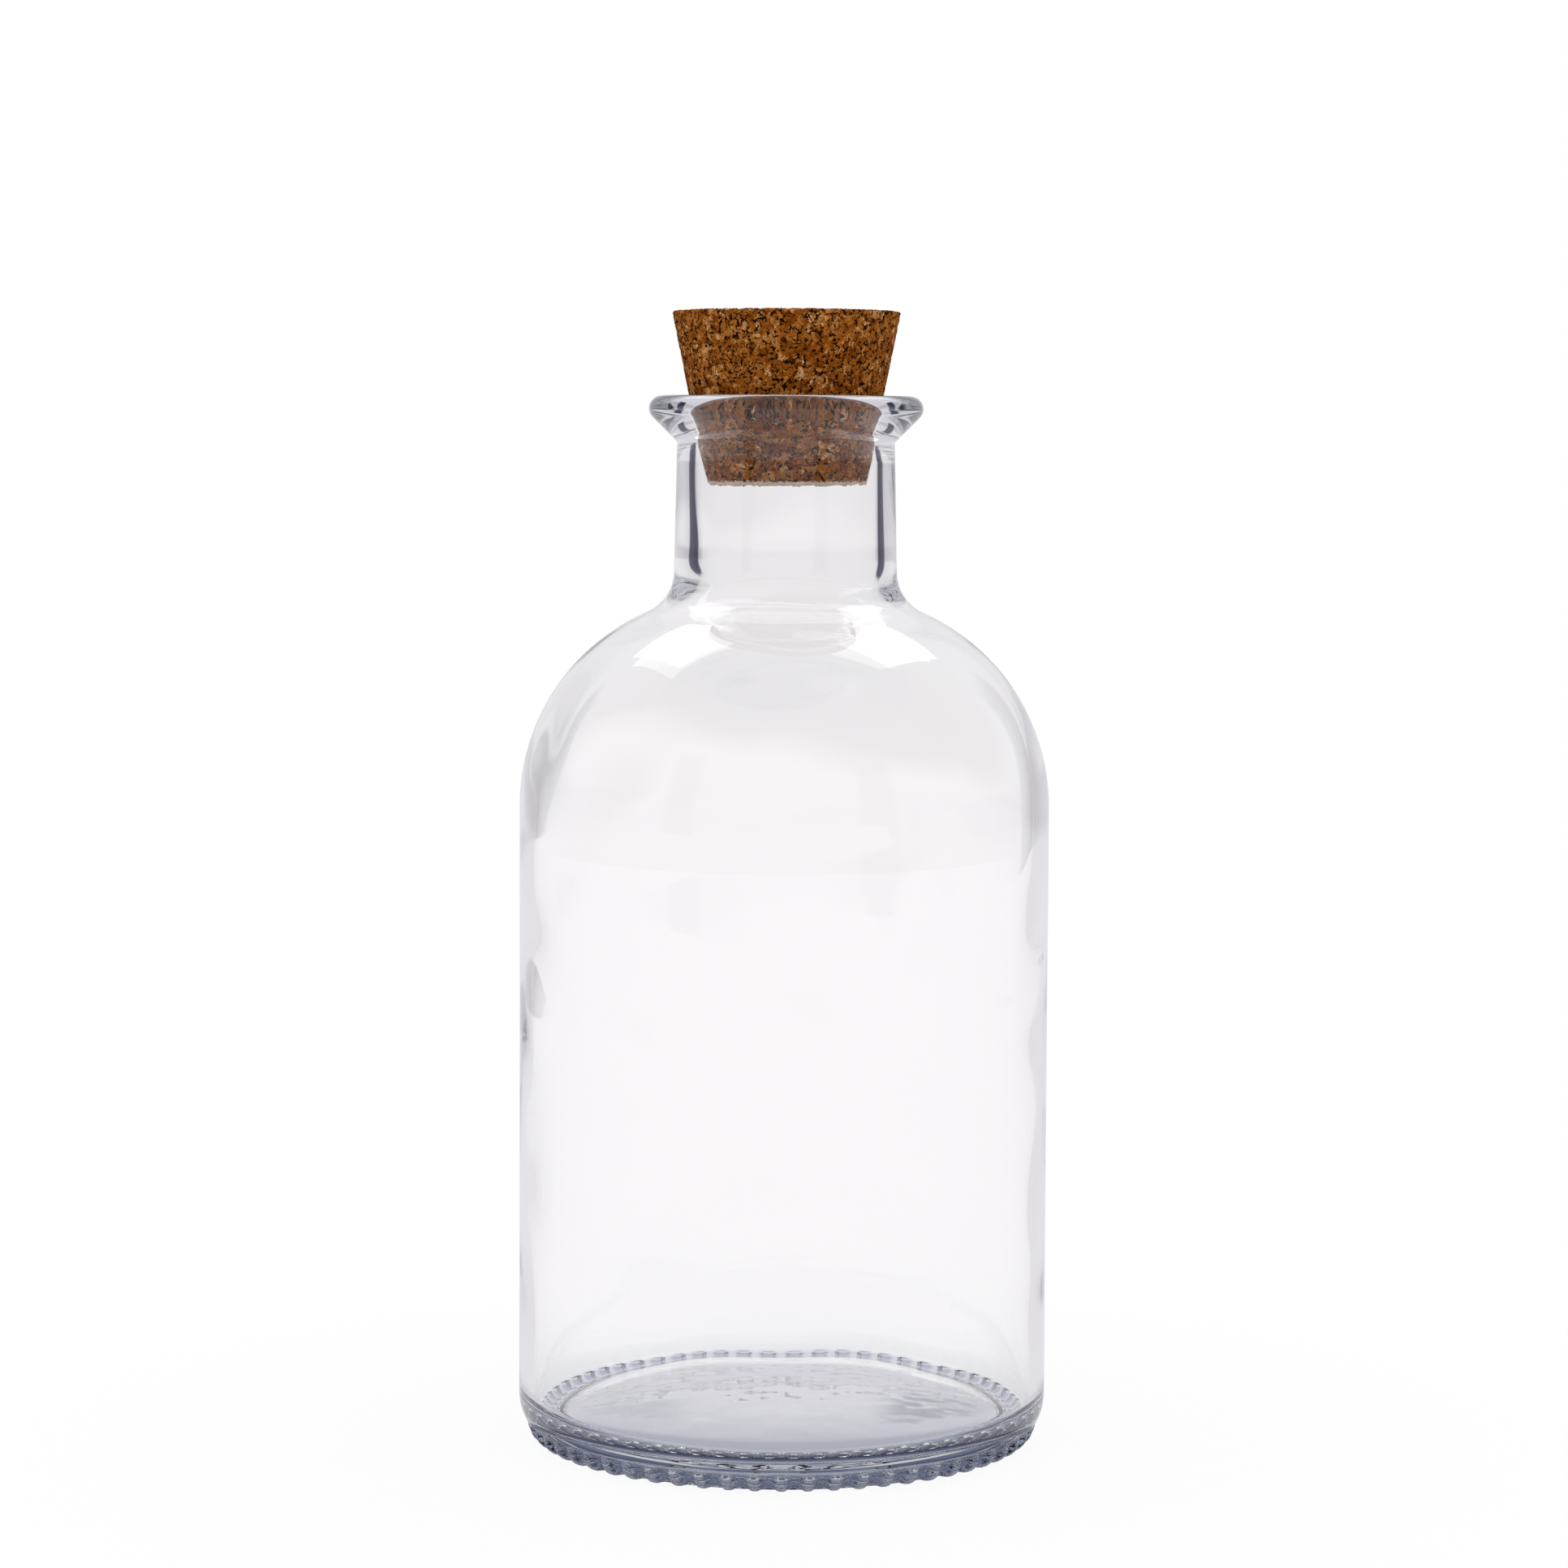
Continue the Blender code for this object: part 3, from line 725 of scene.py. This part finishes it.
def makeWorld(s):
    world = bpy.data.worlds.new("studio")
    bpy.context.scene.world = world
    world.use_nodes = True
    tree = world.node_tree
    tree.nodes.clear()
    path = addNode(tree, "ShaderNodeLightPath")
    place = addNode(tree, "ShaderNodeTexCoord")
    parts = addNode(tree, "ShaderNodeSeparateXYZ", {0: place.outputs["Generated"]})
    slope = parts.outputs["Z"]
    # the backdrop straight behind the glass is a little darker at the height of the neck
    start, end = s["neckSlope"]
    height = addNode(tree, "ShaderNodeMapRange", {0: slope, 1: start, 2: end})
    straight = addNode(tree, "ShaderNodeMix", {
        0: height.outputs[0], 6: toLinear(s["backdrop"]), 7: toLinear(s["neckBackdrop"])}, data_type="RGBA")
    # light that has turned inside a wall comes from the side: narrow dark gaps stand between white flats
    eighthTurn = math.pi / 4
    bearing = addNode(tree, "ShaderNodeMath", {
        0: parts.outputs["X"], 1: parts.outputs["Y"]}, operation="ARCTAN2")
    fold = addNode(tree, "ShaderNodeMath", {0: bearing.outputs[0], 1: eighthTurn}, operation="PINGPONG")
    angle = addNode(tree, "ShaderNodeMapRange", {0: fold.outputs[0], 2: eighthTurn})
    flats = addNode(tree, "ShaderNodeValToRGB", {0: angle.outputs[0]}, s["flats"])
    # the gaps are only dark near the height of the bottle
    level = addNode(tree, "ShaderNodeMath", {0: slope}, operation="ABSOLUTE")
    start, end = s["gapEnd"]
    above = addNode(tree, "ShaderNodeMapRange", {0: level.outputs[0], 1: start, 2: end})
    # and only for light that went through one wall, not for what the far side mirrors back
    far = addNode(tree, "ShaderNodeMath", {
        0: path.outputs["Transmission Depth"], 1: wallDepth}, operation="GREATER_THAN")
    plain = addNode(tree, "ShaderNodeMath", {
        0: above.outputs[0], 1: far.outputs[0]}, operation="MAXIMUM")
    # the flats end near the height of the neck, so its edges gather less light
    signed = addNode(tree, "ShaderNodeMapRange", {0: slope, 1: -1.0, 2: 1.0})
    ends = addNode(tree, "ShaderNodeValToRGB", {0: signed.outputs[0]}, s["flatEnds"])
    dimmed = addNode(tree, "ShaderNodeMix", {
        0: 1.0, 6: flats.outputs[0], 7: ends.outputs[0]}, data_type="RGBA", blend_type="MULTIPLY")
    sides = addNode(tree, "ShaderNodeMix", {
        0: plain.outputs[0], 6: dimmed.outputs[2], 7: toLinear(s["farSide"])}, data_type="RGBA")
    # what the thick base throws back over the top of the backdrop is a cool grey
    top = addNode(tree, "ShaderNodeValToRGB", {0: slope}, s["overhead"])
    cool = addNode(tree, "ShaderNodeMix", {
        0: far.outputs[0], 6: sides.outputs[2], 7: top.outputs[0]}, data_type="RGBA", blend_type="MULTIPLY")
    # the front of the glass mirrors the dim room, its edges the bright backdrop beside the bottle
    away = addNode(tree, "ShaderNodeMapRange", {0: parts.outputs["Y"], 1: 0.0, 2: s["roomReach"]})
    front = addNode(tree, "ShaderNodeMix", {
        0: away.outputs[0], 6: toLinear(s["room"]), 7: toLinear(s["roomSides"])}, data_type="RGBA")
    turned = addNode(tree, "ShaderNodeMath", {
        0: path.outputs["Glossy Depth"], 1: onceDepth}, operation="GREATER_THAN")
    inGlass = addNode(tree, "ShaderNodeMath", {
        0: path.outputs["Transmission Depth"], 1: onceDepth}, operation="GREATER_THAN")
    mirrored = addNode(tree, "ShaderNodeMix", {
        0: inGlass.outputs[0], 6: front.outputs[2], 7: cool.outputs[2]}, data_type="RGBA")
    seen = addNode(tree, "ShaderNodeMix", {
        0: turned.outputs[0], 6: straight.outputs[2], 7: mirrored.outputs[2]}, data_type="RGBA")
    around = addNode(tree, "ShaderNodeBackground", {"Color": seen.outputs[2]})
    white = addNode(tree, "ShaderNodeBackground", {"Color": pureWhite})
    soft = addNode(tree, "ShaderNodeBackground", {"Color": pureWhite, "Strength": s["softLight"]})
    glassRays = addNode(tree, "ShaderNodeMath", {
        0: path.outputs["Is Glossy Ray"], 1: path.outputs["Is Transmission Ray"]}, operation="MAXIMUM")
    lit = addNode(tree, "ShaderNodeMixShader", {
        0: glassRays.outputs[0], 1: soft.outputs[0], 2: around.outputs[0]})
    final = addNode(tree, "ShaderNodeMixShader", {
        0: path.outputs["Is Camera Ray"], 1: lit.outputs[0], 2: white.outputs[0]})
    addNode(tree, "ShaderNodeOutputWorld", {"Surface": final.outputs[0]})


# places are from the bottle's axis, in metres, and the three lists of tones go outwards from it
table = {
    "radius": 1.0,
    "edges": 96,
    "paint": "#f4f4f4",
    "shadowReach": 0.16,        # it turns wholly bright this far out
    "shadowShare": 0.09,        # of the true shadow, in what the camera sees close to the bottle
    # painted shade that the glass gathers from the table, where the ring shades it in front and less behind
    "front": [(0.0, "#ebebee"), (0.029, "#e4e4e8"), (0.0335, "#b4b9c6"), (0.0360, "#b4b9c6"),
              (0.040, "#ebecee"), (0.060, "#fafafb"), (0.09, "#fffdfe")],
    "behind": [(0.0, "#ebebee"), (0.029, "#e4e4e8"), (0.036, "#dfe0e5"), (0.040, "#ebecee"),
               (0.060, "#fafafb"), (0.09, "#fffdfe")],
    # and the painted contact shadow of the ring, striped in darker and lighter bands, for light that has
    # turned inside the thick base
    "contact": [(0.0, "#a9adbb"), (0.030, "#959bae"), (0.034, "#4a526d"), (0.0355, "#131838"),
                (0.037, "#5d6580"), (0.0385, "#c4c9d6"), (0.0400, "#131838"), (0.0415, "#4a526d"),
                (0.0435, "#a2a9bc"), (0.0455, "#131838"), (0.0475, "#5d6580"), (0.050, "#a6acbd"),
                (0.053, "#3c445f"), (0.056, "#d3d3d9"), (0.10, "#e2e0e3")],
    "contactReach": 0.012,      # light that comes from farther away than this misses it
    "pastContact": "#e5e3e7",
    "hollowEdge": (0.030, 0.036),
    "hollowFront": (0.030, -0.015),     # from behind the axis to in front of it
    # painted shade of the hollow under the floor, in front
    "hollowShade": "#a2a6b4",
    "patchAside": (0.013, 0.020),
    "patchBehind": 0.015,
    "patchReach": (0.003, 0.011),       # in front of and behind its middle
    "patchMiddle": (-0.01, 0.01),       # from the left patch to the right one
    "patchStrength": (0.35, 0.9),
    # the colour of the painted shade in the two patches
    "patchShade": "#545b74",
}


def whiteTable(t):
    # satin white table top, evenly lit from the backdrop away from the bottle
    material, tree = emptyMaterial("whiteTable")
    path = addNode(tree, "ShaderNodeLightPath")
    place = addNode(tree, "ShaderNodeTexCoord").outputs["Object"]
    spot = addNode(tree, "ShaderNodeSeparateXYZ", {0: place})
    reach = addNode(tree, "ShaderNodeVectorMath", {0: place}, operation="LENGTH").outputs["Value"]
    # painted shade: the backdrop lights the table from behind, so under the floor it darkens towards the
    # front
    shade = addNode(tree, "ShaderNodeValToRGB", {0: reach}, t["front"])
    behind = addNode(tree, "ShaderNodeValToRGB", {0: reach}, t["behind"])
    start, end = t["hollowFront"]
    front = addNode(tree, "ShaderNodeMapRange", {0: spot.outputs["Y"], 1: start, 2: end})
    bright = addNode(tree, "ShaderNodeMix", {
        0: front.outputs[0], 6: behind.outputs[0], 7: shade.outputs[0]}, data_type="RGBA")
    start, end = t["hollowEdge"]
    under = addNode(tree, "ShaderNodeMapRange", {0: reach, 1: start, 2: end, 3: 1.0, 4: 0.0})
    dim = addNode(tree, "ShaderNodeMath", {
        0: front.outputs[0], 1: under.outputs[0]}, operation="MULTIPLY")
    hollow = addNode(tree, "ShaderNodeMix", {
        0: dim.outputs[0], 6: bright.outputs[2], 7: toLinear(t["hollowShade"])}, data_type="RGBA")
    # painted shade, darker still, in two patches at the left and right of the hollow, more so at the right
    aside = addNode(tree, "ShaderNodeMath", {0: spot.outputs["X"]}, operation="ABSOLUTE")
    start, end = t["patchAside"]
    wide = addNode(tree, "ShaderNodeMapRange", {
        0: aside.outputs[0], 1: start, 2: end}, interpolation_type="SMOOTHSTEP")
    along = addNode(tree, "ShaderNodeMath", {
        0: spot.outputs["Y"], 1: t["patchBehind"]}, operation="SUBTRACT")
    off = addNode(tree, "ShaderNodeMath", {0: along.outputs[0]}, operation="ABSOLUTE")
    start, end = t["patchReach"]
    middle = addNode(tree, "ShaderNodeMapRange", {
        0: off.outputs[0], 1: start, 2: end, 3: 1.0, 4: 0.0}, interpolation_type="SMOOTHSTEP")
    patch = addNode(tree, "ShaderNodeMath", {
        0: wide.outputs[0], 1: middle.outputs[0]}, operation="MULTIPLY")
    inside = addNode(tree, "ShaderNodeMath", {
        0: patch.outputs[0], 1: under.outputs[0]}, operation="MULTIPLY")
    start, end = t["patchMiddle"]
    left, right = t["patchStrength"]
    side = addNode(tree, "ShaderNodeMapRange", {0: spot.outputs["X"], 1: start, 2: end, 3: left, 4: right})
    strength = addNode(tree, "ShaderNodeMath", {
        0: inside.outputs[0], 1: side.outputs[0]}, operation="MULTIPLY")
    shaded = addNode(tree, "ShaderNodeMix", {
        0: strength.outputs[0], 6: hollow.outputs[2], 7: toLinear(t["patchShade"])}, data_type="RGBA")
    # light that has turned inside the thick base meets the painted contact shadow of the ring, striped in
    # darker and lighter bands
    contact = addNode(tree, "ShaderNodeValToRGB", {0: reach}, t["contact"])
    turned = addNode(tree, "ShaderNodeMath", {
        0: path.outputs["Glossy Depth"], 1: onceDepth}, operation="GREATER_THAN")
    near = addNode(tree, "ShaderNodeMath", {
        0: path.outputs["Transmission Depth"], 1: wallDepth}, operation="LESS_THAN")
    inBase = addNode(tree, "ShaderNodeMath", {
        0: turned.outputs[0], 1: near.outputs[0]}, operation="MULTIPLY")
    # a ray that leaves the wall higher up meets the lit table, not the dark line of contact
    short = addNode(tree, "ShaderNodeMath", {
        0: path.outputs["Ray Length"], 1: t["contactReach"]}, operation="LESS_THAN")
    dark = addNode(tree, "ShaderNodeMix", {
        0: short.outputs[0], 6: toLinear(t["pastContact"]), 7: contact.outputs[0]}, data_type="RGBA")
    tintWithShade = addNode(tree, "ShaderNodeMix", {
        0: inBase.outputs[0], 6: shaded.outputs[2], 7: dark.outputs[2]}, data_type="RGBA")
    glow = addNode(tree, "ShaderNodeEmission", {"Color": tintWithShade.outputs[2]})
    # the camera sees a trace of the true shadow close to the bottle, and none far from it
    paint = addNode(tree, "ShaderNodeBsdfDiffuse", {"Color": toLinear(t["paint"])})
    clean = addNode(tree, "ShaderNodeEmission", {"Color": pureWhite})
    far = addNode(tree, "ShaderNodeMapRange", {
        0: reach, 1: bottle["radius"], 2: t["shadowReach"]}, interpolation_type="SMOOTHSTEP")
    lit = addNode(tree, "ShaderNodeMapRange", {0: far.outputs[0], 3: 1 - t["shadowShare"], 4: 1.0})
    direct = addNode(tree, "ShaderNodeMixShader", {
        0: lit.outputs[0], 1: paint.outputs[0], 2: clean.outputs[0]})
    glassRays = addNode(tree, "ShaderNodeMath", {
        0: path.outputs["Is Glossy Ray"], 1: path.outputs["Is Transmission Ray"]}, operation="MAXIMUM")
    gathered = addNode(tree, "ShaderNodeMixShader", {
        0: glassRays.outputs[0], 1: paint.outputs[0], 2: glow.outputs[0]})
    mix = addNode(tree, "ShaderNodeMixShader", {
        0: path.outputs["Is Camera Ray"], 1: gathered.outputs[0], 2: direct.outputs[0]})
    addNode(tree, "ShaderNodeOutputMaterial", {"Surface": mix.outputs[0]})
    return material


def makeTable(t):
    deselectAll()
    bpy.ops.mesh.primitive_circle_add(
        vertices=t["edges"], radius=t["radius"], fill_type="NGON", location=(0, 0, 0))
    floor = bpy.context.object
    floor.name = "floor"
    floor.data.materials.append(whiteTable(t))


softbox = {
    "aside": 0.62,
    "behind": 0.78,
    "height": 1.40,
    "size": (0.60, 0.95),
    "turn": 20,                 # degrees round the upright, the other way at the right
    "brightness": 1.5,
}


# side is -1 at the left and 1 at the right
def addSoftbox(name, side, s):
    width, depth = s["size"]
    data = bpy.data.lights.new(name, "AREA")
    data.shape = "RECTANGLE"
    data.size = width
    data.size_y = depth
    data.energy = s["brightness"] * math.pi * width * depth
    lamp = bpy.data.objects.new(name, data)
    bpy.context.scene.collection.objects.link(lamp)
    lamp.location = (side * s["aside"], s["behind"], s["height"])
    lamp.rotation_euler = (0, 0, math.radians(-side * s["turn"]))


makeCamera(camera)
makeWorld(surroundings)
makeTable(table)
addSoftbox("leftSoftbox", -1, softbox)
addSoftbox("rightSoftbox", 1, softbox)
bpy.context.scene.view_settings.view_transform = "Standard"
bounces = 64        # light travels far inside the thick base before it leaves
bpy.context.scene.cycles.max_bounces = bounces
bpy.context.scene.cycles.glossy_bounces = bounces
bpy.context.scene.cycles.transmission_bounces = bounces
print("studio made")
